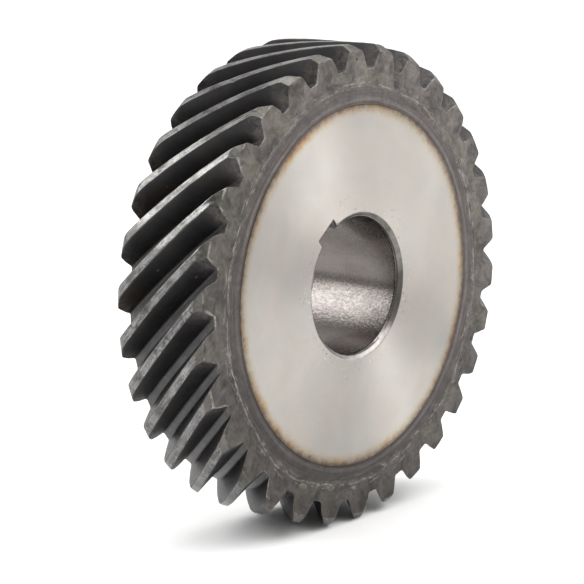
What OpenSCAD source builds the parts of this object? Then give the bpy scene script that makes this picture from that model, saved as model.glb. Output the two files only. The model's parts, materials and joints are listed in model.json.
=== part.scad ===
// Helical gear in two pieces: a hardened toothed ring, shrunk on to a keyed hub disc.
// It stands on its teeth, with its axis along Y and its front face towards -Y.
// The origin is on the bore's axis, half-way between the ring's two faces.
// Angles are seen from the front, anticlockwise from +X.

/* [Teeth] */
// Number of teeth
teeth = 30; // [30:1:36]
// Module, in the plane square to the teeth
normal_module = 3; // [3:0.25:4]
// Helix angle at the pitch circle, left hand
helix_angle = 45; // [40:1:45]
// Pressure angle, in the plane square to the teeth
pressure_angle = 20; // [18:0.5:22]
// Thinning of each tooth at the pitch circle, for backlash
tooth_thinning = 0.15; // [0:0.05:0.3]
// Where the first tooth stands on the front face
first_tooth_angle = 6.8; // [0:0.1:12]

/* [Toothed ring] */
// Width of the ring from face to face
face_width = 30; // [24:1:40]
// Chamfer turned on both ends of the tooth tips
tip_chamfer = 2; // [0.5:0.1:3]
// Diameter where the ring and the hub disc meet
seat_d = 100; // [90:1:102]
// Lead-in chamfer on the seat's edges, on both pieces
seat_chamfer = 0.3; // [0.1:0.1:0.8]

/* [Hub disc] */
// How far the disc stands proud of the ring at the back
hub_proud = 2; // [0:0.5:10]
// Diameter of the bore
bore_d = 38; // [30:1:44]
// Chamfer on both ends of the bore
bore_chamfer = 1.4; // [0.5:0.1:2]
// Width of the keyway
key_width = 8; // [6:1:10]
// Depth of the keyway beyond the bore's wall, at the middle of its floor
key_depth = 3.3; // [2.8:0.1:4]
// Where the keyway stands
key_angle = 129; // [0:1:359]

/* [Hidden] */
$fn = 180;
eps = 0.5;

// Proportions of the basic rack, in modules
addendum = 1;
dedendum = 1.25;
fillet = 0.3;

// Gear sizes in the plane of rotation
transverse_angle = atan(tan(pressure_angle) / cos(helix_angle));
pitch_r = teeth * normal_module / cos(helix_angle) / 2;
base_r = pitch_r * cos(transverse_angle);
tip_r = pitch_r + addendum * normal_module;
root_r = pitch_r - dedendum * normal_module;
fillet_r = fillet * normal_module;
twist_per_mm = tan(helix_angle) / pitch_r * 180 / PI;
half_pitch = 180 / teeth;

half_width = face_width / 2;
hub_back = -half_width - hub_proud;
seat_r = seat_d / 2;
bore_r = bore_d / 2;

// Straight slices across the width between the two tip chamfers
slices = 7;
// Steps along the root fillet and along the flank above it
fillet_steps = 2;
flank_steps = 2;
side_points = fillet_steps + 1 + flank_steps;
tooth_points = 2 * side_points + 2;

function degrees_of(arc, r) = arc / r * 180 / PI;
function involute(a) = tan(a) - a * PI / 180;
function polar(r, a, z) = [r * cos(a), r * sin(a), z];

// Half of the tooth's angle at radius r, on the involute
function half_tooth(r) =
    90 / teeth - degrees_of(tooth_thinning / 2, pitch_r)
    + (involute(transverse_angle) - involute(acos(base_r / r))) * 180 / PI;

// Half of the gap's width at radius r, along the arc
function half_gap(r) = r * (half_pitch - half_tooth(r)) * PI / 180;

// The root fillet is an arc that touches the root circle and the flank
flank_lean = atan((half_gap(root_r + fillet_r) - half_gap(root_r)) / fillet_r);
fillet_x = half_gap(root_r) + fillet_r * (tan(flank_lean) - 1 / cos(flank_lean));
fillet_top_r = root_r + fillet_r * (1 - sin(flank_lean));

// The radius that the tips are turned to at height z along the axis
function turned_r(z) = tip_r - max(0, tip_chamfer - (half_width - abs(z)));

// One side of a tooth from root to tip, as [radius, angle from the tooth's middle]
function fillet_point(a) =
    let (r = root_r + fillet_r * (1 + sin(a)))
    [r, half_pitch - degrees_of(fillet_x + fillet_r * cos(a), r)];
function flank_point(r) = [r, half_tooth(r)];
function tooth_side(z) = concat(
    [for (i = [0 : fillet_steps]) fillet_point(-90 + (90 - flank_lean) * i / fillet_steps)],
    [for (i = [1 : flank_steps])
        flank_point(fillet_top_r + (turned_r(z) - fillet_top_r) * i / flank_steps)]
);

// Outline of the whole gear at height z: for each tooth the middle of the gap before it,
// its lower side, the middle of its tip and its upper side
function tooth_outline(z, middle) =
    let (side = tooth_side(z))
    concat(
        [polar(root_r, middle - half_pitch, z)],
        [for (p = side) polar(p[0], middle - p[1], z)],
        [polar(turned_r(z), middle, z)],
        [for (i = [side_points - 1 : -1 : 0]) polar(side[i][0], middle + side[i][1], z)]
    );
function gear_outline(z) =
    let (start = first_tooth_angle + twist_per_mm * (half_width - z))
    [for (j = [0 : teeth - 1]) each tooth_outline(z, start + j * 2 * half_pitch)];

// Heights of the outlines, from the back face to the front face
straight = half_width - tip_chamfer;
heights = concat(
    [-half_width],
    [for (i = [0 : slices]) -straight + 2 * straight * i / slices],
    [half_width]
);
top = len(heights) - 1;
loop = teeth * tooth_points;

// Each end face is closed by a polygon inside the roots and by facets across each tooth
core_r = (seat_r + root_r) / 2;
function core_ring(z) =
    let (start = first_tooth_angle + twist_per_mm * (half_width - z) - half_pitch)
    [for (j = [0 : teeth - 1]) polar(core_r, start + j * 2 * half_pitch, z)];

function at(s, i) = s * loop + i % loop;
function core_at(base, j) = base + j % teeth;
function end_facets(s, base) = [
    for (j = [0 : teeth - 1])
        let (
            gap = j * tooth_points,
            low = gap + 1,
            high = gap + tooth_points - 1
        )
        each concat(
            [[core_at(base, j), at(s, gap), at(s, low), at(s, high),
              at(s, gap + tooth_points), core_at(base, j + 1)]],
            [for (i = [0 : side_points - 2])
                [at(s, low + i), at(s, low + i + 1), at(s, high - i - 1), at(s, high - i)]],
            [[at(s, low + side_points - 1), at(s, low + side_points), at(s, low + side_points + 1)]]
        ),
    [for (j = [0 : teeth - 1]) core_at(base, j)]
];
function turned_over(facets) = [for (f = facets) [for (i = [len(f) - 1 : -1 : 0]) f[i]]];
function side_facets() = [
    for (s = [0 : top - 1], i = [0 : loop - 1])
        each [
            [at(s, i), at(s + 1, i), at(s + 1, i + 1)],
            [at(s, i), at(s + 1, i + 1), at(s, i + 1)]
        ]
];

// Turns a solid built round Z to stand on its edge, with its top as the front face
module standing() {
    rotate([90, 0, 0]) children();
}

module toothed_blank() {
    outlines = [for (z = heights) each gear_outline(z)];
    back_core = len(outlines);
    polyhedron(
        points = concat(outlines, core_ring(-half_width), core_ring(half_width)),
        faces = concat(
            side_facets(),
            end_facets(0, back_core),
            turned_over(end_facets(top, back_core + teeth))
        ),
        convexity = 10
    );
}

// A disc from the height back to the front face, with both ends of its edge chamfered
// inwards (c > 0), or flared outwards and carried on past the faces, to cut a hole (c < 0)
module turned_disc(r, c, back) {
    past = c > 0 ? 0 : eps;
    reach = c > 0 ? c : c - eps;
    rotate_extrude()
        polygon([
            [0, back - past],
            [r - reach, back - past],
            [r, back + abs(c)],
            [r, half_width - abs(c)],
            [r - reach, half_width + past],
            [0, half_width + past]
        ]);
}

// Piece 1: the ring, with its teeth, its chamfered tooth ends and a plain round seat
module toothed_ring() {
    color("dimgray")
        standing()
            difference() {
                toothed_blank();
                turned_disc(seat_r, -seat_chamfer, -half_width);
            }
}

// Piece 2: the disc that the ring is shrunk on to, with its bore and keyway
module hub_disc() {
    color("gainsboro")
        standing()
            difference() {
                turned_disc(seat_r, seat_chamfer, hub_back);
                turned_disc(bore_r, -bore_chamfer, hub_back);
                rotate([0, 0, key_angle])
                    translate([0, -key_width / 2, hub_back - eps])
                        cube([bore_r + key_depth, key_width, half_width - hub_back + 2 * eps]);
            }
}

toothed_ring();
hub_disc();
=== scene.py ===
"""A helical gear, modelled as a dark toothed ring on a bright, keyed hub disc.

Detailed meshes, procedural materials, soft light and a camera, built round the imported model.
Everything is in metres. The gear's axis is Y and its front face looks towards -Y. Angles are
seen from the front, anticlockwise from +X.
"""

import json
import math

import bpy
import numpy as np
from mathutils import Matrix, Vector, noise


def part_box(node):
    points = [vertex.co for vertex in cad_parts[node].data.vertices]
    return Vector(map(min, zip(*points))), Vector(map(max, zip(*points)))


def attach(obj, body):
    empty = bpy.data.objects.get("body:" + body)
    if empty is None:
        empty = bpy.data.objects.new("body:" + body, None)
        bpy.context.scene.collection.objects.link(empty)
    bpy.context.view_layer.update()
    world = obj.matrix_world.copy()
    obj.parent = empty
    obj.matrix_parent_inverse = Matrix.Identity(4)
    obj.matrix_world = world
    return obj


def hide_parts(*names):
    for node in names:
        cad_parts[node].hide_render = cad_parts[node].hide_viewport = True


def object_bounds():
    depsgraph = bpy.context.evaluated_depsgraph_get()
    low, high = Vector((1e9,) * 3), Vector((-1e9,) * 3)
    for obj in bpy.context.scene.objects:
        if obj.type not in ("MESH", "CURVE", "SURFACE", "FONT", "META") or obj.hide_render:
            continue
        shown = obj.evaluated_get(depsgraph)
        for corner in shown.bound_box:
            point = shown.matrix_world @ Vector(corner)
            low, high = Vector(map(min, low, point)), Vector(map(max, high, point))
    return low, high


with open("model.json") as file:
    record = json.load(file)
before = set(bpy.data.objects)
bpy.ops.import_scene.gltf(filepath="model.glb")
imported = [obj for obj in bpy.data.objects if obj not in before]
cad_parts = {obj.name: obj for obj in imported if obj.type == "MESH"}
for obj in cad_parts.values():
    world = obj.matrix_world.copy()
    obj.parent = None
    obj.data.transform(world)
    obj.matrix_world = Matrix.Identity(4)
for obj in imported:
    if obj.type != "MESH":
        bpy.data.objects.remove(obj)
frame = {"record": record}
cad_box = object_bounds()

MM = 0.001

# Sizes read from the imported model
HALF_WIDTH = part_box("toothed_ring")[1].y
HUB_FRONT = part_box("hub_disc")[0].y
HUB_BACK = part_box("hub_disc")[1].y
HUB_HALF = (HUB_BACK - HUB_FRONT) / 2
HUB_MIDDLE = (HUB_BACK + HUB_FRONT) / 2
SEAT_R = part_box("hub_disc")[1].x
MOUNTS = {mount["name"]: mount for mount in frame["record"]["mounts"]}
BORE_R = MOUNTS["bore"]["dims"]["r_mm"] * MM
BORE_CHAMFER = HUB_HALF - MOUNTS["bore"]["dims"]["length_mm"] * MM / 2
KEY_FLOOR = Vector(MOUNTS["keyway"]["pos_m"])
KEY_ANGLE = math.atan2(KEY_FLOOR.z, KEY_FLOOR.x)
KEY_REACH = math.hypot(KEY_FLOOR.x, KEY_FLOOR.z)
KEY_WIDTH = 8 * MM
KEY_HALF = KEY_WIDTH / 2

# The teeth, as in the CAD source
TEETH = 30
MODULE = 3 * MM
HELIX = math.radians(45)
PRESSURE = math.radians(20)
THINNING = 0.15 * MM
FIRST_TOOTH = math.radians(6.8)
TIP_CHAMFER = 2 * MM
DEDENDUM = 1.25
FILLET = 0.3

PITCH_R = TEETH * MODULE / math.cos(HELIX) / 2
TIP_R = PITCH_R + MODULE
ROOT_R = PITCH_R - DEDENDUM * MODULE
FILLET_R = FILLET * MODULE
TRANSVERSE = math.atan(math.tan(PRESSURE) / math.cos(HELIX))
BASE_R = PITCH_R * math.cos(TRANSVERSE)
TWIST = math.tan(HELIX) / PITCH_R
HALF_PITCH = math.pi / TEETH

# Small shapes that only the finished surface has
EDGE_BREAK = 0.26 * MM
SEAT_BREAK = 0.12 * MM
BACK_BREAK = 0.30 * MM
TIP_EDGE = 0.4 * MM
FRONT_SOFTNESS = 0.22 * MM
BACK_SOFTNESS = 0.9 * MM
FACE_BLEND = 0.3 * MM

# Steps of the ring's mesh across a gap's half, a fillet, a flank, a tip's edge and a tip
GAP_STEPS = 3
FILLET_STEPS = 4
FLANK_STEPS = 6
CORNER_STEPS = 3
LAND_STEPS = 10

# Steps of the meshes across the middle of the width, and rows of the ring's seat, as shares of it
RING_MIDDLE_STEPS = 26
HUB_MIDDLE_STEPS = 18
SEAT_ROWS = (0.015, 0.5, 0.985)

# Where the ring's corners are marked as worn and carry a painted highlight: slices from each end, and
# how far beside the tips
WORN_AND_HIGHLIT_SLICES = 4.5
CORNER_WEAR_AND_HIGHLIGHT = 0.8

# Camera and light
VIEW_AZIMUTH = math.radians(-50.78)
VIEW_ELEVATION = math.radians(10.64)
VIEW_DISTANCE = 0.7336
VIEW_TARGET = Vector((-0.01169, -0.00113, -0.00153))
LENS = 164.66
SENSOR_WIDTH = 36


# ---------------------------------------------------------------- small shared functions

def soft_step(value, width):
    """The value where it is positive and nothing where it is negative, with a round bend."""
    return (value + np.sqrt(value * value + width * width)) / 2


def smooth(low, high, value):
    """0 below low, 1 above high, with a smooth rise between them."""
    t = np.clip((value - low) / (high - low), 0, 1)
    return t * t * (3 - 2 * t)


def end_inset(distance, reach):
    """How far an edge broken by reach has drawn back at a distance from the end face."""
    inside = np.clip(reach - distance, 0, reach)
    return reach - np.sqrt(reach * reach - inside * inside)


def lumps(points, size, seed):
    """Smooth noise from -1 to 1 at each point, with lumps of about the given size."""
    shift = Vector((seed * 7.31, seed * 3.17, seed * 1.93))
    return np.array([noise.noise(Vector(p) / size + shift) for p in points])


def add_mesh(name, points, faces, slots, materials, edges=None):
    """Makes a smooth-shaded piece from points and faces, one material slot per face. The edge
    attribute is 1 where the surface is a corner that wears and carries a painted highlight."""
    mesh = bpy.data.meshes.new(name)
    mesh.from_pydata([tuple(p) for p in points], [], faces)
    if edges is not None:
        mesh.attributes.new("edge", "FLOAT", "POINT").data.foreach_set("value", edges)
    for material in materials:
        mesh.materials.append(material)
    mesh.polygons.foreach_set("material_index", slots)
    mesh.polygons.foreach_set("use_smooth", [True] * len(faces))
    mesh.update()
    piece = bpy.data.objects.new(name, mesh)
    bpy.context.scene.collection.objects.link(piece)
    weighted = piece.modifiers.new("even_normals", "WEIGHTED_NORMAL")
    weighted.weight = 50
    weighted.keep_sharp = True
    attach(piece, "root")
    return piece


# ---------------------------------------------------------------- the tooth's shape

def involute(angle):
    return np.tan(angle) - angle


def half_tooth(r):
    """Half of the tooth's angle at radius r."""
    thick = math.pi / TEETH / 2 - THINNING / 2 / PITCH_R
    return thick + involute(TRANSVERSE) - involute(np.arccos(BASE_R / r))


def half_gap(r):
    """Half of the gap's width at radius r, along the arc."""
    return r * (HALF_PITCH - half_tooth(r))


def tooth_side(tip_r):
    """One side of a tooth from the middle of the gap to the tip: radii, and angles from the
    tooth's middle."""
    lean = math.atan((half_gap(ROOT_R + FILLET_R) - half_gap(ROOT_R)) / FILLET_R)
    fillet_x = half_gap(ROOT_R) + FILLET_R * (math.tan(lean) - 1 / math.cos(lean))
    fillet_top = ROOT_R + FILLET_R * (1 - math.sin(lean))

    share = np.arange(GAP_STEPS) / GAP_STEPS
    gap_r = np.full(GAP_STEPS, ROOT_R)
    gap_a = HALF_PITCH - share * fillet_x / ROOT_R

    turn = np.linspace(-math.pi / 2, -lean, FILLET_STEPS + 1)
    fillet_r = ROOT_R + FILLET_R * (1 + np.sin(turn))
    fillet_a = HALF_PITCH - (fillet_x + FILLET_R * np.cos(turn)) / fillet_r

    flank_r = np.linspace(fillet_top, tip_r - TIP_EDGE, FLANK_STEPS + 1)[1:]
    flank_a = half_tooth(flank_r)

    t = np.arange(1, CORNER_STEPS + 1) / CORNER_STEPS
    corner_a = half_tooth(np.array(tip_r))
    bend_r = (1 - t) ** 2 * flank_r[-1] + (1 - (1 - t) ** 2) * tip_r
    bend_a = ((1 - t) ** 2 * flank_a[-1] + 2 * t * (1 - t) * corner_a
              + t * t * (corner_a - TIP_EDGE / tip_r))
    return (np.concatenate([gap_r, fillet_r, flank_r, bend_r]),
            np.concatenate([gap_a, fillet_a, flank_a, bend_a]))


SIDE = GAP_STEPS + FILLET_STEPS + 1 + FLANK_STEPS + CORNER_STEPS
TOOTH = 2 * SIDE + LAND_STEPS - 2
LOOP = TEETH * TOOTH


def gear_outline(y):
    """The whole toothed outline at y, as x and z, with its edge broken near the end faces."""
    end = HALF_WIDTH - abs(y)
    tip_r = TIP_R - soft_step(TIP_CHAMFER - end, FRONT_SOFTNESS if y < 0 else BACK_SOFTNESS)
    r, a = tooth_side(tip_r)
    land = a[-1] * (1 - 2 * np.arange(1, LAND_STEPS) / LAND_STEPS)
    tooth_r = np.concatenate([r, np.full(LAND_STEPS - 1, tip_r), r[:0:-1]])
    tooth_a = np.concatenate([-a, -land, a[:0:-1]])
    middles = FIRST_TOOTH + TWIST * (y + HALF_WIDTH) + 2 * HALF_PITCH * np.arange(TEETH)
    angles = (middles[:, None] + tooth_a[None, :]).ravel()
    radii = np.tile(tooth_r, TEETH)
    points = np.stack([radii * np.cos(angles), radii * np.sin(angles)], 1)
    along = np.roll(points, -1, 0) - np.roll(points, 1, 0)
    along /= np.linalg.norm(along, axis=1)[:, None]
    outward = np.stack([along[:, 1], -along[:, 0]], 1)
    places = np.insert(points, 1, math.copysign(HALF_WIDTH, y), axis=1)
    worn = 1 + 1.1 * lumps(places, 1.9 * MM, 11) + 0.7 * lumps(places, 0.9 * MM, 12)
    return points - outward * (end_inset(end, EDGE_BREAK) * np.clip(worn, 0.3, 2.3))[:, None]


def width_steps(half, break_r, bend, middle_steps):
    """Places across a width of twice half, from front to back, that follow the broken edges
    and the bend of a chamfer."""
    edge = break_r * (1 - np.cos(np.linspace(0, math.pi / 2, 5)))
    near = np.concatenate([edge, np.linspace(break_r, bend, 5)[1:-1],
                           bend + np.array([-0.35, -0.1, 0.15, 0.45]) * MM])
    front = -half + near
    middle = np.linspace(front[-1], -front[-1], middle_steps + 1)[1:-1]
    return np.concatenate([front, middle, -front[::-1]])


# ---------------------------------------------------------------- the ring's end faces

# Turned bands on the end face: radius in mm and how deep the face lies there in mm
FACE_PROFILE = [
    (50.0, 0.14), (50.15, 0.05), (50.6, 0.03), (51.5, 0.02), (51.9, 0.12), (54.4, 0.14),
    (54.9, 0.05), (55.15, 0.0), (55.45, 0.05), (56.0, 0.08), (70.0, 0.08),
]

# Knocks on the end faces: radius in mm, angle in degrees, size in mm and depth in mm
FACE_KNOCKS = [
    (54.5, 45.3, 0.9, 0.35), (55.0, 18.4, 0.8, 0.30), (50.6, 87.4, 0.8, 0.20),
    (50.9, -107.2, 0.9, 0.22), (50.8, 173.5, 0.8, 0.25), (57.2, 118.0, 1.0, 0.18),
    (56.4, 203.0, 1.1, 0.16), (58.0, 262.0, 1.0, 0.20), (61.8, 147.0, 0.9, 0.25),
    (57.6, -38.0, 1.2, 0.16), (60.5, 66.0, 0.8, 0.15), (61.0, -70.0, 1.0, 0.20),
]

# Knocks on the tips: angle in degrees, y in mm, size in mm and depth in mm
TIP_KNOCKS = [
    (118.8, 2.7, 1.5, 0.55), (163.0, -6.0, 1.0, 0.20), (196.0, 4.0, 1.1, 0.25),
    (231.0, -9.5, 1.2, 0.25), (37.0, 1.0, 1.2, 0.30), (300.0, 7.0, 1.0, 0.25),
    (340.0, -3.0, 1.3, 0.30), (81.0, -8.0, 1.0, 0.22), (152.6, -13.0, 1.0, 0.50),
    (128.3, -12.6, 0.9, 0.40), (164.9, -13.3, 1.1, 0.40), (188.2, -13.0, 1.0, 0.35),
    (212.6, -12.8, 1.1, 0.40), (236.1, -13.6, 1.0, 0.35), (141.5, 11.5, 1.0, 0.35),
    (174.0, 1.5, 0.9, 0.30), (205.5, -4.5, 0.8, 0.25), (220.0, 2.0, 1.1, 0.30),
]


def face_depth(points, side):
    """How deep the finished end face lies under the nominal face, at each point."""
    r = np.hypot(points[:, 0], points[:, 2])
    table = np.array(FACE_PROFILE) * MM
    depth = np.interp(r, table[:, 0], table[:, 1])
    forged = smooth(54.7 * MM, 56.0 * MM, r)
    rough = 0.07 * lumps(points, 3.0 * MM, 1 + side) + 0.05 * lumps(points, 1.2 * MM, 3 + side)
    ripple = 0.008 * lumps(points, 2.0 * MM, 5 + side)
    depth += (forged * rough + (1 - forged) * ripple) * MM
    burr = np.exp(-((r - 55.15 * MM) / (0.3 * MM)) ** 2)
    depth += burr * 0.05 * MM * lumps(points, 2.6 * MM, 7 + side)
    for knock_r, angle, size, deep in FACE_KNOCKS:
        a = math.radians(angle if side < 0 else 180 - angle + 11)
        middle = np.array([math.cos(a), math.sin(a)]) * knock_r * MM
        away = np.hypot(points[:, 0] - middle[0], points[:, 2] - middle[1]) / (size * MM)
        depth += deep * MM * np.clip(1 - away ** 2, 0, 1) ** 2
    return np.clip(depth, 0, None)


def knock_tips(points):
    """Makes the tips of the teeth slightly uneven and presses small dents into them."""
    r = np.hypot(points[:, 0], points[:, 2])
    tips = r > TIP_R - TIP_CHAMFER - 0.5 * MM
    uneven = 0.05 + 0.05 * lumps(points[tips], 1.8 * MM, 21) + 0.04 * lumps(points[tips], 0.8 * MM, 22)
    points[tips] *= (1 - np.clip(uneven, 0, 1) * MM / r[tips])[:, None] * [1, 0, 1] + [0, 1, 0]
    for angle, y, size, deep in TIP_KNOCKS:
        a = math.radians(angle)
        middle = np.array([math.cos(a) * TIP_R, y * MM, math.sin(a) * TIP_R])
        away = np.linalg.norm(points - middle, axis=1) / (size * MM)
        press = deep * MM * np.clip(1 - away ** 2, 0, 1) ** 1.5
        shrink = (r - press) / r
        points[:, 0] *= shrink
        points[:, 2] *= shrink


def ring_end(side, outline, first, points, faces, slots):
    """Closes one end of the ring: rows across each tooth, then rows in to the seat.
    Returns the innermost row's point numbers. outline holds the end slice's point numbers."""
    def at(i):
        return outline[i % LOOP]

    place = {}
    tops = []
    for tooth in range(TEETH):
        start = tooth * TOOTH
        rows = []
        for k in range(GAP_STEPS, SIDE - 1):
            low, high = points[at(start + k)], points[at(start + TOOTH - k)]
            r = math.hypot(low[0], low[2])
            a = math.atan2(low[2], low[0])
            span = (math.atan2(high[2], high[0]) - a) % (2 * math.pi)
            row = [at(start + k)]
            for step in range(1, LAND_STEPS):
                b = a + span * step / LAND_STEPS
                row.append(first + len(place))
                place[row[-1]] = (r * math.cos(b), low[1], r * math.sin(b))
            row.append(at(start + TOOTH - k))
            rows.append(row)
        rows.append([at(start + SIDE - 1 + step) for step in range(LAND_STEPS + 1)])
        for lower, upper in zip(rows, rows[1:]):
            for i in range(LAND_STEPS):
                faces.append((lower[i], lower[i + 1], upper[i + 1], upper[i])[::side])
                slots.append(0)
        tops += [at(start + k) for k in range(GAP_STEPS)] + rows[0]
        tops += [at(start + TOOTH - k) for k in range(GAP_STEPS - 1, 0, -1)]
    points.extend(place.values())

    radii = np.concatenate([
        np.linspace(ROOT_R - EDGE_BREAK, 56.1 * MM, 8)[1:], np.arange(55.8, 54.2, -0.22) * MM,
        np.linspace(54.0, 52.1, 4) * MM, np.array([51.9, 51.7, 51.5]) * MM,
        np.linspace(51.1, 50.5, 3) * MM, [SEAT_R + SEAT_BREAK, SEAT_R + 0.03 * MM]])
    columns = len(tops)
    y = points[tops[0]][1]
    angles = [math.atan2(points[i][2], points[i][0]) for i in tops]
    previous = tops
    for r in radii:
        row = list(range(len(points), len(points) + columns))
        points.extend((r * math.cos(a), y, r * math.sin(a)) for a in angles)
        for i in range(columns):
            j = (i + 1) % columns
            faces.append((row[i], row[j], previous[j], previous[i])[::side])
            slots.append(0)
        previous = row
    return previous


def build_ring(materials):
    """The toothed ring: a fine helical surface, two worn end faces and the plain seat."""
    ys = width_steps(HALF_WIDTH, EDGE_BREAK, TIP_CHAMFER, RING_MIDDLE_STEPS)
    outlines = [gear_outline(y) for y in ys]
    points = [(x, y, z) for y, outline in zip(ys, outlines) for x, z in outline]
    faces, slots = [], []
    for s in range(len(ys) - 1):
        edge = HALF_WIDTH - abs((ys[s] + ys[s + 1]) / 2) < EDGE_BREAK
        for i in range(LOOP):
            j = (i + 1) % LOOP
            faces.append((s * LOOP + i, s * LOOP + j, (s + 1) * LOOP + j, (s + 1) * LOOP + i))
            land = SIDE - 2 <= i % TOOTH < SIDE + LAND_STEPS
            slots.append(0 if edge else 2 if land else 1)
    front = list(range(LOOP))
    back = list(range((len(ys) - 1) * LOOP, len(ys) * LOOP))
    front_seat = ring_end(1, front, len(points), points, faces, slots)
    back_seat = ring_end(-1, back, len(points), points, faces, slots)

    # The back outline is turned by the helix, so the seat's columns are matched by angle
    turned = round(TWIST * 2 * HALF_WIDTH / (2 * HALF_PITCH)) * (len(front_seat) // TEETH)
    columns = len(front_seat)
    walls = [front_seat]
    for share in SEAT_ROWS:
        row = list(range(len(points), len(points) + columns))
        for i in range(columns):
            a = points[front_seat[i]]
            b = points[back_seat[(i - turned) % columns]]
            ax, az = a[0] + (b[0] - a[0]) * share, a[2] + (b[2] - a[2]) * share
            scale = SEAT_R / math.hypot(ax, az)
            y = -HALF_WIDTH + 2 * HALF_WIDTH * share
            points.append((ax * scale, y, az * scale))
        walls.append(row)
    walls.append([back_seat[(i - turned) % columns] for i in range(columns)])
    for near, far in zip(walls, walls[1:]):
        for i in range(columns):
            j = (i + 1) % columns
            faces.append((near[j], near[i], far[i], far[j]))
            slots.append(1)

    points = np.array(points)
    edges = np.zeros(len(points))
    of_loop = np.arange(len(ys) * LOOP)
    beside = np.abs(np.arange(len(ys)) - (len(ys) - 1) / 2) > (len(ys) - 1) / 2 - WORN_AND_HIGHLIT_SLICES
    edges[:len(of_loop)] = np.repeat(beside, LOOP)
    k = of_loop % TOOTH
    corner = np.minimum(np.abs(k - SIDE + 2), np.abs(k - SIDE - LAND_STEPS))
    edges[:len(of_loop)] = np.maximum(edges[:len(of_loop)], CORNER_WEAR_AND_HIGHLIGHT * (corner <= 1))
    knock_tips(points)
    for side in (-1, 1):
        end = HALF_WIDTH - points[:, 1] * side
        near = end < FACE_BLEND
        weight = 1 - smooth(0.0, FACE_BLEND, end[near])
        points[near, 1] -= side * weight * face_depth(points[near], side)
    ring = add_mesh("toothed_ring_finished", points, faces, slots, materials, edges)
    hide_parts("toothed_ring")


# ---------------------------------------------------------------- the hub disc

BORE_STEPS = 232
KEY_BREAK = 0.15 * MM
KEY_CORNER = 0.35 * MM


def keyed_outline(end):
    """The bore with its keyway at a distance from the end face, as x and z."""
    back = 1.5 * end_inset(end, KEY_BREAK)
    r = BORE_R + soft_step(BORE_CHAMFER - end, 0.1 * MM) + back
    half, floor = KEY_HALF + back, KEY_REACH + back
    mouth = math.asin(half / r)
    round_bore = np.linspace(mouth, 2 * math.pi - mouth, BORE_STEPS + 1)
    u = list(r * np.cos(round_bore))
    v = list(r * np.sin(round_bore))
    wall = np.linspace(u[-1], floor - KEY_CORNER, 5)
    turn = np.linspace(-math.pi / 2, 0, 4)
    corner_u = floor - KEY_CORNER + KEY_CORNER * np.cos(turn)
    corner_v = -half + KEY_CORNER + KEY_CORNER * np.sin(turn)
    bottom = np.linspace(corner_v[-1], -corner_v[-1], 9)[1:-1]
    u += list(wall[1:-1]) + list(corner_u) + [floor] * len(bottom)
    u += list(corner_u[::-1]) + list(wall[-2:0:-1])
    side = len(wall) - 2
    v += [-half] * side + list(corner_v) + list(bottom)
    v += list(-corner_v[::-1]) + [half] * side
    u, v = np.array(u), np.array(v)
    c, s = math.cos(KEY_ANGLE), math.sin(KEY_ANGLE)
    return np.stack([u * c - v * s, u * s + v * c], 1)


def spread_angles(outline):
    """Angles for the disc's rim, one for each point of the bore's outline, evenly opened out
    where the keyway crowds them."""
    step = np.linalg.norm(np.roll(outline, -1, 0) - outline, axis=1)
    start = math.atan2(outline[0, 1], outline[0, 0])
    reach = np.concatenate([[0], np.cumsum(step)])
    even = reach[:-1] / reach[-1] * 2 * math.pi
    middle = len(outline) - (len(outline) - BORE_STEPS) / 2
    drift = KEY_ANGLE - (start + np.interp(middle, np.arange(len(even)), even))
    drift = (drift + math.pi) % (2 * math.pi) - math.pi
    return start + drift + even


def build_hub(materials):
    """The hub disc as one closed grid: along the bore, out over the back, across the rim and
    in over the front."""
    ys = HUB_MIDDLE + width_steps(HUB_HALF, KEY_BREAK, BORE_CHAMFER, HUB_MIDDLE_STEPS)
    bore = [np.insert(keyed_outline(HUB_HALF - abs(y - HUB_MIDDLE)), 1, y, axis=1) for y in ys]
    rim = spread_angles(keyed_outline(HUB_HALF))
    count = len(rim)
    rows = np.concatenate([
        np.linspace(0, 0.12, 5)[1:], np.linspace(0.12, 0.9, 15)[1:], np.linspace(0.9, 1, 5)[1:]])

    def ring(r, y):
        return np.stack([r * np.cos(rim), np.full(count, y), r * np.sin(rim)], 1)

    def face(inner, edge_break):
        outer = ring(SEAT_R - edge_break - 0.04 * MM, inner[0, 1])
        return [inner + (outer - inner) * share for share in rows]

    def edge(edge_break, y, way):
        return [ring(SEAT_R - edge_break * (1 - math.sin(a)), y + way * edge_break * (1 - math.cos(a)))
                for a in np.radians((0, 20, 40, 60, 75, 90))]

    out = face(bore[-1], BACK_BREAK) + edge(BACK_BREAK, HUB_BACK, -1)
    wall = [ring(SEAT_R, HUB_MIDDLE + HUB_HALF * share) for share in (0.8, 0, -0.8)]
    home = face(bore[0], SEAT_BREAK) + edge(SEAT_BREAK, HUB_FRONT, 1)
    loops = bore + out + wall + home[::-1]

    points = np.concatenate(loops)
    faces, slots = [], []
    for s in range(len(loops)):
        t = (s + 1) % len(loops)
        for i in range(count):
            j = (i + 1) % count
            faces.append((s * count + i, t * count + i, t * count + j, s * count + j))
            slots.append((2 if i >= BORE_STEPS else 1) if s < len(ys) - 1 else 0)
    hub = add_mesh("hub_disc_finished", points, faces, slots, materials)
    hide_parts("hub_disc")


# ---------------------------------------------------------------- materials

# Sockets of the mix node when it mixes colours
MIX_A, MIX_B, MIX_RESULT = 6, 7, 2


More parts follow.
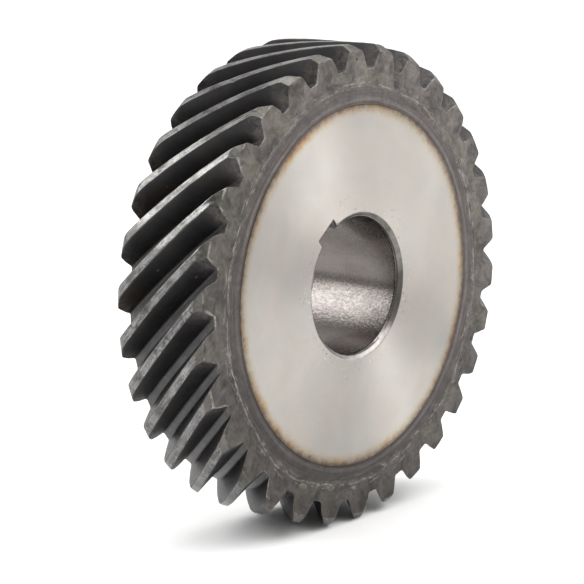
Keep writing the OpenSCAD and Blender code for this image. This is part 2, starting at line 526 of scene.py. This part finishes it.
class Graph:
    """A material's nodes, built up by short calls. Each call gives a socket for the next."""

    def __init__(self, name):
        self.material = bpy.data.materials.new(name)
        self.material.use_nodes = True
        self.tree = self.material.node_tree
        self.tree.nodes.clear()
        self.shader = self.node("ShaderNodeBsdfPrincipled")
        output = self.node("ShaderNodeOutputMaterial")
        self.tree.links.new(self.shader.outputs["BSDF"], output.inputs["Surface"])
        place = self.node("ShaderNodeTexCoord")
        self.place = place.outputs["Object"]
        split = self.node("ShaderNodeSeparateXYZ")
        self.put(self.place, split.inputs[0])
        self.x, self.y, self.z = split.outputs
        squares = self.math("ADD", self.math("POWER", self.x, 2), self.math("POWER", self.z, 2))
        self.radius = self.math("SQRT", squares)

    def node(self, kind, **settings):
        node = self.tree.nodes.new(kind)
        for key, value in settings.items():
            setattr(node, key, value)
        return node

    def put(self, value, socket):
        if isinstance(value, bpy.types.NodeSocket):
            self.tree.links.new(value, socket)
        else:
            socket.default_value = value

    def math(self, operation, a, b=0.0):
        node = self.node("ShaderNodeMath", operation=operation)
        for value, socket in zip((a, b), node.inputs):
            self.put(value, socket)
        return node.outputs[0]

    def vector(self, x, y, z):
        node = self.node("ShaderNodeCombineXYZ")
        for value, socket in zip((x, y, z), node.inputs):
            self.put(value, socket)
        return node.outputs[0]

    def gain(self, colour, value):
        node = self.node("ShaderNodeVectorMath", operation="SCALE")
        self.put(colour, node.inputs[0])
        self.put(value, node.inputs["Scale"])
        return node.outputs[0]

    def scaled(self, vector, factors):
        node = self.node("ShaderNodeVectorMath", operation="MULTIPLY")
        self.put(vector, node.inputs[0])
        self.put(factors, node.inputs[1])
        return node.outputs[0]

    def noise(self, vector, scale, detail=2.0, rough=0.5, warp=0.0):
        node = self.node("ShaderNodeTexNoise")
        self.put(vector, node.inputs["Vector"])
        self.put(scale, node.inputs["Scale"])
        self.put(detail, node.inputs["Detail"])
        self.put(rough, node.inputs["Roughness"])
        self.put(warp, node.inputs["Distortion"])
        return node.outputs["Fac"]

    def remap(self, value, low, high, to_low=0.0, to_high=1.0):
        node = self.node("ShaderNodeMapRange", clamp=True)
        for item, socket in zip((value, low, high, to_low, to_high), node.inputs):
            self.put(item, socket)
        return node.outputs[0]

    def ramp(self, value, low, high, stops):
        """Colours along value; stops are (value, (r, g, b)) pairs from low to high."""
        node = self.node("ShaderNodeValToRGB")
        band = node.color_ramp
        while len(band.elements) < len(stops):
            band.elements.new(1.0)
        for element, (at, colour) in zip(band.elements, stops):
            element.position = (at - low) / (high - low)
            element.color = (*colour, 1)
        self.put(self.remap(value, low, high), node.inputs[0])
        return node.outputs[0]

    def mix(self, factor, a, b, blend="MIX"):
        node = self.node("ShaderNodeMix", data_type="RGBA", blend_type=blend)
        self.put(factor, node.inputs["Factor"])
        for value, socket in ((a, MIX_A), (b, MIX_B)):
            self.put((*value, 1) if isinstance(value, tuple) else value, node.inputs[socket])
        return node.outputs[MIX_RESULT]

    def bump(self, height, distance, strength=1.0, normal=None):
        node = self.node("ShaderNodeBump")
        self.put(strength, node.inputs["Strength"])
        self.put(distance, node.inputs["Distance"])
        self.put(height, node.inputs["Height"])
        if normal is not None:
            self.put(normal, node.inputs["Normal"])
        return node.outputs[0]

    def turned(self, across, around):
        """Coordinates that stretch noise into rings round the axis, with no seam: across is
        how fine it is along the radius and the axis, around how often it changes in a turn."""
        depth = self.math("MULTIPLY", self.math("ADD", self.radius, self.y), across)
        round_x = self.math("MULTIPLY", self.math("DIVIDE", self.x, self.radius), around)
        round_z = self.math("MULTIPLY", self.math("DIVIDE", self.z, self.radius), around)
        return self.vector(depth, round_x, round_z)

    def unwound(self):
        """The angle round the axis with the helix of the teeth taken off."""
        angle = self.math("ARCTAN2", self.z, self.x)
        return self.math("SUBTRACT", angle, self.math("MULTIPLY", self.y, TWIST))

    def helical(self, across, along, around):
        """Coordinates that stretch noise along the helix of the teeth."""
        angle = self.unwound()
        depth = self.math("ADD", self.math("MULTIPLY", self.radius, across),
                          self.math("MULTIPLY", self.y, along))
        reach = around * PITCH_R
        return self.vector(depth, self.math("MULTIPLY", self.math("COSINE", angle), reach),
                           self.math("MULTIPLY", self.math("SINE", angle), reach))

    def finish(self, colour, metallic, roughness, normal=None):
        self.put(colour, self.shader.inputs["Base Color"])
        self.put(metallic, self.shader.inputs["Metallic"])
        self.put(roughness, self.shader.inputs["Roughness"])
        if normal is not None:
            self.put(normal, self.shader.inputs["Normal"])
        return self.material


def edge_wear_and_highlight(g, low, high):
    """Where a corner is rubbed bright and painted with a highlight: the mesh's edge attribute, broken up
    by noise.
    """
    edge = g.node("ShaderNodeAttribute", attribute_name="edge").outputs["Fac"]
    broken = g.noise(g.place, 500, 4, 0.75)
    patches = g.remap(g.noise(g.place, 160, 2), 0.3, 0.7, -0.14, 0.14)
    return g.remap(g.math("ADD", g.math("ADD", edge, broken), patches), low, high)


def end_face_material():
    """The ring's end faces: heat-coloured turned bands, then mottled, rough, burred teeth."""
    g = Graph("ring_end_face")
    wobble = g.remap(g.noise(g.place, 28, 2), 0.3, 0.7, -0.3 * MM, 0.3 * MM)
    ragged = g.remap(g.noise(g.place, 520, 3, 0.65), 0.3, 0.7, -0.15 * MM, 0.15 * MM)
    r = g.math("ADD", g.radius, g.math("ADD", wobble, ragged))
    bands = g.ramp(r, 49.5 * MM, 58.5 * MM, [
        (49.9 * MM, (0.088, 0.072, 0.063)), (50.4 * MM, (0.078, 0.067, 0.062)),
        (50.95 * MM, (0.128, 0.115, 0.111)), (51.45 * MM, (0.136, 0.123, 0.119)),
        (51.95 * MM, (0.096, 0.085, 0.082)), (54.2 * MM, (0.092, 0.081, 0.076)),
        (55.0 * MM, (0.108, 0.097, 0.091)), (56.5 * MM, (0.101, 0.091, 0.085)),
        (57.8 * MM, (0.109, 0.099, 0.093))])
    rough_zone = g.remap(g.math("ADD", r, wobble), 54.4 * MM, 55.4 * MM)

    olive = g.remap(g.noise(g.place, 120, 2, 0.5, 0.5), 0.48, 0.64)
    violet = g.remap(g.noise(g.scaled(g.place, (1.0, 1.0, -1.0)), 90, 2), 0.50, 0.68)
    colour = g.mix(g.math("MULTIPLY", g.math("MULTIPLY", olive, rough_zone), 0.65),
                   bands, (0.111, 0.103, 0.083))
    colour = g.mix(g.math("MULTIPLY", violet, 0.4), colour, (0.112, 0.096, 0.099))
    mottle = g.remap(g.noise(g.place, 230, 4, 0.66, 0.6), 0.32, 0.68, 0.52, 1.52)
    share = g.remap(rough_zone, 0, 1, 0.35, 1.0)
    mottle = g.math("ADD", g.math("MULTIPLY", share, g.math("SUBTRACT", mottle, 1)), 1)
    grain = g.noise(g.place, 800, 4, 0.7)
    mottle = g.math("MULTIPLY", mottle, g.remap(grain, 0.3, 0.7, 0.78, 1.22))
    drawn = g.remap(g.noise(g.turned(1500, 4), 1.0, 4, 0.65, 0.3), 0.32, 0.68, -0.21, 0.21)
    drawn = g.math("MULTIPLY", drawn, g.remap(rough_zone, 0, 1, 1.0, 0.3))
    mottle = g.math("MULTIPLY", mottle, g.math("ADD", drawn, 1))
    # The end face is darker towards the bottom and lighter towards the top.
    upward = g.math("ADD", g.math("MULTIPLY", g.x, 0.45), g.math("MULTIPLY", g.z, 0.89))
    darker_downward = g.remap(upward, -60 * MM, 60 * MM, 0.61, 1.20)
    colour = g.gain(colour, g.math("MULTIPLY", mottle, darker_downward))

    # Three light burr lines round the face: the burrs are rubbed bright and also carry a painted
    # highlight where the ridge catches light.
    stray = g.remap(g.noise(g.place, 45, 3), 0.3, 0.7, -1.0 * MM, 1.0 * MM)
    wandering = g.math("ADD", r, stray)
    crumbs = g.remap(g.noise(g.place, 700, 4, 0.75), 0.36, 0.60, 0.1, 1.0)
    for place, width, low, high, bright in ((54.4, 0.30, 0.54, 0.66, 0.5),
                                            (55.2, 0.42, 0.44, 0.58, 0.66),
                                            (56.2, 0.50, 0.54, 0.68, 0.5)):
        away = g.math("ABSOLUTE", g.math("SUBTRACT", wandering, place * MM))
        line = g.math("MULTIPLY", g.remap(away, width * MM, 0.05 * MM), crumbs)
        patches = g.remap(g.noise(g.place, 100 + 3 * place, 3, 0.6), low, high)
        burr = g.math("MULTIPLY", g.math("MULTIPLY", line, patches), bright)
        colour = g.mix(burr, colour, (0.40, 0.38, 0.355))
    smears = g.remap(g.noise(g.turned(800, 11), 1.0, 4, 0.65, 0.8), 0.55, 0.70)
    away = g.math("ABSOLUTE", g.math("SUBTRACT", wandering, 55.3 * MM))
    beside = g.remap(away, 2.4 * MM, 0.8 * MM, 0.08, 1.0)
    colour = g.mix(g.math("MULTIPLY", g.math("MULTIPLY", smears, beside), 0.6),
                   colour, (0.34, 0.325, 0.30))
    pits = g.remap(g.noise(g.place, 330, 3, 0.6), 0.33, 0.26)
    colour = g.mix(g.math("MULTIPLY", pits, rough_zone), colour, (0.035, 0.031, 0.028))
    # Corners rubbed bright, with a painted highlight along them.
    wear_and_highlight = edge_wear_and_highlight(g, 1.46, 1.78)
    colour = g.mix(g.math("MULTIPLY", wear_and_highlight, 0.8), colour, (0.36, 0.345, 0.32))

    streaks = g.noise(g.turned(2600, 2.5), 1.0, 3, 0.6)
    height = g.math("ADD", g.math("MULTIPLY", grain, rough_zone),
                    g.math("MULTIPLY", streaks, g.remap(rough_zone, 0, 1, 0.45, 0.1)))
    lumpy = g.bump(g.math("SUBTRACT", mottle, g.math("MULTIPLY", pits, rough_zone)), 0.10 * MM, 0.6)
    return g.finish(colour, 0.85, g.remap(grain, 0.3, 0.7, 0.38, 0.58),
                    g.bump(height, 0.05 * MM, 0.9, lumpy))


def flank_material():
    """Flanks and roots: nearly black, oiled oxide with hobbing marks, and painted light in patches near
    the ends, where light reaches into the gaps.
    """
    g = Graph("ring_flanks")
    stain = g.remap(g.noise(g.place, 90, 3, 0.6), 0.42, 0.70)
    colour = g.mix(stain, (0.021, 0.0200, 0.0212), (0.038, 0.0355, 0.0355))
    rust = g.remap(g.noise(g.scaled(g.place, (1.0, -1.0, 1.0)), 75, 3, 0.6), 0.52, 0.72)
    at_back = g.remap(g.y, -2 * MM, 12 * MM, 0.15, 0.8)
    colour = g.mix(g.math("MULTIPLY", rust, at_back), colour, (0.040, 0.026, 0.017))

    along = g.noise(g.helical(2400, 40, 900), 1.0, 3, 0.6)
    turn = g.math("MULTIPLY", g.math("SUBTRACT", g.unwound(), FIRST_TOOTH + TWIST * HALF_WIDTH), TEETH)
    middle = g.remap(g.math("COSINE", turn), -0.55, -1.0)
    root = g.math("MULTIPLY", middle, g.remap(g.radius, ROOT_R + 1.2 * MM, ROOT_R + 0.3 * MM))
    streak = g.math("MULTIPLY", root, g.remap(along, 0.30, 0.65, 0.30, 1.0))
    streak = g.math("MULTIPLY", streak, g.remap(g.noise(g.place, 260, 3, 0.6), 0.35, 0.65, 0.5, 1.0))
    colour = g.mix(streak, colour, (0.092, 0.089, 0.094))
    # Painted light: the flanks are lighter in patches near the end faces, where light reaches into the
    # gaps.
    near_end = g.remap(g.math("ABSOLUTE", g.y), HALF_WIDTH - 4.2 * MM, HALF_WIDTH - 0.3 * MM)
    patchy = g.remap(g.noise(g.place, 380, 4, 0.75, 0.5), 0.42, 0.62)
    painted_end_light = g.math("MULTIPLY", g.math("MULTIPLY", near_end, patchy), 0.9)
    colour = g.mix(painted_end_light, colour, (0.100, 0.089, 0.078))
    nicks = g.remap(g.noise(g.place, 520, 2, 0.5), 0.74, 0.78)
    colour = g.mix(g.math("MULTIPLY", nicks, 0.7), colour, (0.30, 0.29, 0.28))
    # Corners rubbed bright, with a painted highlight along them.
    wear_and_highlight = edge_wear_and_highlight(g, 1.48, 1.78)
    colour = g.mix(g.math("MULTIPLY", wear_and_highlight, 0.8), colour, (0.34, 0.33, 0.32))

    fine = g.noise(g.place, 1300, 3, 0.6)
    normal = g.bump(along, 0.03 * MM, 0.5)
    normal = g.bump(fine, 0.03 * MM, 0.7, normal)
    gloss = g.math("SUBTRACT", g.remap(fine, 0.3, 0.7, 0.42, 0.56), g.math("MULTIPLY", root, 0.1))
    return g.finish(colour, 0.6, gloss, normal)


def tip_material():
    """Tips and tip chamfers: turned steel rubbed along the teeth, with bright and dark marks."""
    g = Graph("ring_tips")
    cloud = g.noise(g.place, 180, 4, 0.7)
    colour = g.mix(g.remap(cloud, 0.38, 0.62), (0.075, 0.073, 0.070), (0.185, 0.181, 0.176))
    rubbed = g.noise(g.helical(1000, 260, 1300), 1.0, 4, 0.7)
    colour = g.mix(g.remap(rubbed, 0.50, 0.68, 0.0, 0.6), colour, (0.37, 0.365, 0.357))
    scale = g.remap(g.noise(g.place, 420, 4, 0.7, 0.4), 0.54, 0.62)
    clumps = g.remap(g.noise(g.place, 70, 2), 0.42, 0.60)
    colour = g.mix(g.math("MULTIPLY", g.math("MULTIPLY", scale, clumps), 0.85), colour,
                   (0.040, 0.039, 0.038))
    specks = g.noise(g.place, 1100, 4, 0.7)
    colour = g.mix(g.remap(specks, 0.42, 0.34, 0.0, 0.8), colour, (0.045, 0.043, 0.040))
    colour = g.mix(g.remap(specks, 0.62, 0.72, 0.0, 0.55), colour, (0.66, 0.65, 0.64))
    chamfer = g.remap(g.math("ABSOLUTE", g.y), HALF_WIDTH - 2.2 * MM, HALF_WIDTH - 1.8 * MM)
    dull = g.mix(g.remap(cloud, 0.35, 0.65), (0.056, 0.053, 0.045), (0.128, 0.121, 0.107))
    colour = g.mix(g.math("MULTIPLY", chamfer, 0.85), colour, dull)
    # Corners rubbed bright, with a painted highlight along them.
    wear_and_highlight = edge_wear_and_highlight(g, 1.40, 1.72)
    colour = g.mix(g.math("MULTIPLY", wear_and_highlight, 0.75), colour, (0.50, 0.49, 0.475))
    normal = g.bump(rubbed, 0.04 * MM, 0.8)
    normal = g.bump(specks, 0.07 * MM, 0.9, normal)
    return g.finish(colour, 0.95, g.remap(rubbed, 0.3, 0.7, 0.26, 0.42), normal)


# Sectors of painted sheen on the ground disc, rising and falling round the axis: times round, angle,
# strength
SHEEN_SECTORS = [(1, 80, 0.07), (2, 90, 0.10), (3, 75, 0.03), (4, 25, 0.13), (6, 55, 0.06)]


def hub_face_material():
    """The disc's faces: ground bright, with soft sectors of painted sheen and a temper-coloured rim."""
    g = Graph("disc_face")
    drift = g.remap(g.noise(g.place, 26, 2), 0.3, 0.7, -0.22, 0.22)
    angle = g.math("ADD", g.math("ARCTAN2", g.z, g.x), drift)
    # Painted sheen: the colour rises and falls in sectors round the axis, like the highlights on a
    # ground face.
    painted_sheen = 1.0
    for times, at, strength in SHEEN_SECTORS:
        turn = g.math("MULTIPLY", g.math("SUBTRACT", angle, math.radians(at)), times)
        painted_sheen = g.math("ADD", painted_sheen, g.math("MULTIPLY", g.math("COSINE", turn), strength))
    cloud = g.noise(g.place, 55, 3, 0.5, 0.6)
    painted_sheen = g.math("MULTIPLY", painted_sheen, g.remap(cloud, 0.35, 0.65, 0.94, 1.06))
    warm = g.noise(g.scaled(g.place, (1.0, 1.0, -1.0)), 60, 2, 0.5, 0.4)
    colour = g.mix(g.remap(warm, 0.42, 0.60), (0.402, 0.383, 0.358), (0.414, 0.382, 0.354))
    colour = g.gain(colour, painted_sheen)

    wobble = g.remap(g.noise(g.place, 30, 2), 0.3, 0.7, -0.55 * MM, 0.55 * MM)
    ragged = g.remap(g.noise(g.place, 480, 4, 0.75), 0.3, 0.7, -0.5 * MM, 0.5 * MM)
    r = g.math("ADD", g.radius, g.math("ADD", wobble, ragged))
    halo = g.ramp(r, 45.5 * MM, 50.2 * MM, [
        (46.2 * MM, (1.0, 1.0, 1.0)), (47.3 * MM, (0.96, 0.93, 0.86)),
        (48.2 * MM, (0.81, 0.735, 0.62)), (48.9 * MM, (0.59, 0.505, 0.41)),
        (49.4 * MM, (0.38, 0.32, 0.265)), (49.8 * MM, (0.26, 0.22, 0.187)),
        (50.15 * MM, (0.21, 0.185, 0.168))])
    colour = g.mix(1.0, colour, halo, "MULTIPLY")
    straw = g.remap(g.noise(g.place, 62, 3, 0.6), 0.50, 0.62)
    band = g.math("MULTIPLY", g.remap(r, 46.8 * MM, 48.2 * MM), g.remap(r, 50.2 * MM, 49.2 * MM))
    tint = g.mix(g.math("MULTIPLY", straw, band), (1.0, 1.0, 1.0), (1.05, 0.86, 0.68))
    colour = g.mix(1.0, colour, tint, "MULTIPLY")

    near_bore = g.remap(g.radius, BORE_R + 8 * MM, BORE_R + 2 * MM)
    flecks = g.remap(g.noise(g.place, 1100, 3, 0.6), 0.40, 0.34)
    clusters = g.remap(g.noise(g.place, 150, 3, 0.6), 0.51, 0.58)
    near_rim = g.remap(r, 47.6 * MM, 48.8 * MM)
    spread = g.math("MAXIMUM", g.remap(near_bore, 0, 1, 0.06, 1.0), near_rim)
    pits = g.math("MULTIPLY", g.math("MULTIPLY", flecks, clusters), spread)
    colour = g.mix(g.math("MULTIPLY", pits, 0.85), colour, (0.10, 0.088, 0.078))
    sparks = g.math("MULTIPLY", g.remap(g.noise(g.place, 1150, 3, 0.6), 0.62, 0.68),
                    g.math("MULTIPLY", near_bore, 0.6))
    colour = g.mix(sparks, colour, (0.62, 0.60, 0.575))

    rings = g.noise(g.turned(3000, 2.5), 1.0, 3, 0.6)
    grain = g.noise(g.place, 1700, 3, 0.6)
    roughness = g.math("ADD", g.remap(cloud, 0.3, 0.7, 0.30, 0.40),
                       g.remap(grain, 0.3, 0.7, -0.03, 0.03))
    normal = g.bump(rings, 0.010 * MM, 0.4)
    normal = g.bump(grain, 0.010 * MM, 0.4, normal)
    normal = g.bump(g.math("SUBTRACT", 1, pits), 0.05 * MM, 0.8, normal)
    return g.finish(colour, 1.0, roughness, normal)


def bore_material():
    """The bore's wall and chamfers: bored steel with fine rings, bright specks painted as glints where
    the key light reflects, and a painted reflection low on the chamfer.
    """
    g = Graph("disc_bore")
    cloud = g.noise(g.scaled(g.place, (1.0, 0.35, 1.0)), 170, 3, 0.6)
    colour = g.mix(g.remap(cloud, 0.35, 0.65), (0.113, 0.101, 0.094), (0.150, 0.135, 0.127))
    # A band low on the bore's wall, where the key light reflects: the bright specks in it are painted
    # glints.
    height = g.math("ABSOLUTE", g.math("ADD", g.z, 0.52 * BORE_R))
    frosted_lit_band = g.remap(height, 0.33 * BORE_R, 0.20 * BORE_R, 0.10, 1.0)
    specks = g.noise(g.scaled(g.place, (1500.0, 800.0, 1500.0)), 1.0, 4, 0.7)
    dark = g.math("MULTIPLY", g.remap(specks, 0.46, 0.34, 0.0, 0.42), frosted_lit_band)
    colour = g.mix(dark, colour, (0.070, 0.062, 0.057))
    bright = g.math("MULTIPLY", g.remap(specks, 0.46, 0.68, 0.0, 0.6), frosted_lit_band)
    colour = g.mix(bright, colour, (0.30, 0.287, 0.275))
    from_middle = g.math("ABSOLUTE", g.math("SUBTRACT", g.y, HUB_MIDDLE))
    chamfer = g.remap(from_middle, HUB_HALF - BORE_CHAMFER, HUB_HALF - 1.2 * MM)
    blotch = g.remap(g.noise(g.place, 380, 3, 0.6), 0.35, 0.65)
    dull = g.mix(blotch, (0.128, 0.122, 0.106), (0.240, 0.228, 0.206))
    shade = g.remap(g.math("SUBTRACT", g.x, g.math("MULTIPLY", g.z, 0.45)), 0.85 * BORE_R, 1.05 * BORE_R)
    dull = g.mix(g.math("MULTIPLY", shade, 0.75), dull, (0.055, 0.048, 0.043))
    # Painted reflection: the chamfer is lighter at the bottom, where it mirrors the light overhead.
    painted_reflection_low = g.remap(g.z, -0.62 * BORE_R, -0.85 * BORE_R)
    dull = g.mix(g.math("MULTIPLY", painted_reflection_low, g.remap(blotch, 0, 1, 0.5, 1.0)), dull, (0.50, 0.47, 0.45))
    colour = g.mix(g.math("MULTIPLY", chamfer, 0.85), colour, dull)
    rings = g.noise(g.turned(2200, 2.5), 1.0, 3, 0.6)
    normal = g.bump(rings, 0.02 * MM, 0.5)
    coarse = g.math("MAXIMUM", frosted_lit_band, g.math("MULTIPLY", chamfer, 0.8))
    level = g.math("SUBTRACT", specks, 0.5)
    normal = g.bump(g.math("MULTIPLY", level, coarse), 0.13 * MM, 0.9, normal)
    gloss = g.math("ADD", g.remap(specks, 0.3, 0.7, 0.20, 0.32), g.math("MULTIPLY", chamfer, 0.14))
    return g.finish(colour, 1.0, gloss, normal)


def key_material():
    """The keyway's walls and floor: broached steel, marked along the axis."""
    g = Graph("disc_keyway")
    lines = g.noise(g.scaled(g.place, (2600.0, 60.0, 2600.0)), 1.0, 3, 0.6)
    colour = g.mix(g.remap(lines, 0.35, 0.65), (0.085, 0.078, 0.073), (0.160, 0.150, 0.142))
    return g.finish(colour, 1.0, g.remap(lines, 0.3, 0.7, 0.34, 0.46),
                    g.bump(lines, 0.02 * MM, 0.6))


def floor_material():
    g = Graph("studio_floor")
    fleck = g.noise(g.place, 60, 2)
    colour = g.mix(g.remap(fleck, 0.3, 0.7), (0.88, 0.88, 0.88), (0.90, 0.90, 0.90))
    return g.finish(colour, 0.0, 0.7)


# ---------------------------------------------------------------- stage, light and camera

def build_floor():
    """A wide, plain, pale floor that the gear stands on."""
    size = 12
    mesh = bpy.data.meshes.new("studio_floor")
    z = cad_box[0].z
    corners = [(-size, -size, z), (size, -size, z), (size, size, z), (-size, size, z)]
    mesh.from_pydata(corners, [], [(0, 1, 2, 3)])
    mesh.materials.append(floor_material())
    floor = bpy.data.objects.new("studio_floor", mesh)
    bpy.context.scene.collection.objects.link(floor)


def soft_light(name, direction, distance, width, height, watts):
    """A rectangular soft light that faces the gear and isn't seen itself."""
    light = bpy.data.lights.new(name, "AREA")
    light.shape = "RECTANGLE"
    light.size = width
    light.size_y = height
    light.energy = watts
    lamp = bpy.data.objects.new(name, light)
    away = Vector(direction).normalized()
    lamp.location = away * distance
    lamp.rotation_euler = away.to_track_quat("Z", "Y").to_euler()
    lamp.visible_camera = False
    bpy.context.scene.collection.objects.link(lamp)


def build_world():
    """An even white studio, dimmer towards the left and brighter overhead."""
    world = bpy.data.worlds.new("studio")
    world.use_nodes = True
    tree = world.node_tree
    back = tree.nodes["Background"]
    place = tree.nodes.new("ShaderNodeTexCoord")
    dot = tree.nodes.new("ShaderNodeVectorMath")
    dot.operation = "DOT_PRODUCT"
    tree.links.new(place.outputs["Generated"], dot.inputs[0])
    dot.inputs[1].default_value = Vector((-1.0, 0.15, 0.0)).normalized()
    span = tree.nodes.new("ShaderNodeMapRange")
    tree.links.new(dot.outputs["Value"], span.inputs[0])
    for value, socket in zip((-0.3, 0.7, 1.05, 0.45), span.inputs[1:5]):
        socket.default_value = value
    split = tree.nodes.new("ShaderNodeSeparateXYZ")
    tree.links.new(place.outputs["Generated"], split.inputs[0])
    above = tree.nodes.new("ShaderNodeMath")
    above.operation = "MULTIPLY_ADD"
    tree.links.new(split.outputs["Z"], above.inputs[0])
    above.inputs[1].default_value = 0.3
    tree.links.new(span.outputs[0], above.inputs[2])
    tree.links.new(above.outputs[0], back.inputs["Strength"])
    back.inputs["Color"].default_value = (1.0, 0.995, 0.985, 1)
    bpy.context.scene.world = world


def build_camera():
    """The camera, at the angle and distance from which the gear is seen."""
    data = bpy.data.cameras.new("camera")
    data.lens = LENS
    data.sensor_width = SENSOR_WIDTH
    camera = bpy.data.objects.new("camera", data)
    back = Vector((math.sin(VIEW_AZIMUTH) * math.cos(VIEW_ELEVATION),
                   -math.cos(VIEW_AZIMUTH) * math.cos(VIEW_ELEVATION),
                   math.sin(VIEW_ELEVATION)))
    camera.location = VIEW_TARGET + back * VIEW_DISTANCE
    camera.rotation_euler = back.to_track_quat("Z", "Y").to_euler()
    bpy.context.scene.collection.objects.link(camera)
    bpy.context.scene.camera = camera


build_ring([end_face_material(), flank_material(), tip_material()])
build_hub([hub_face_material(), bore_material(), key_material()])
build_floor()
build_world()
soft_light("key_light", (-0.57, 0.62, 0.53), distance=1.1, width=0.55, height=0.80, watts=8.5)
soft_light("fill_light", (0.22, -0.55, 0.80), distance=1.3, width=0.50, height=0.50, watts=2.0)
soft_light("top_light", (0.15, -0.30, 1.0), distance=2.2, width=3.0, height=3.0, watts=36)
build_camera()
bpy.context.scene.view_settings.view_transform = "Standard"
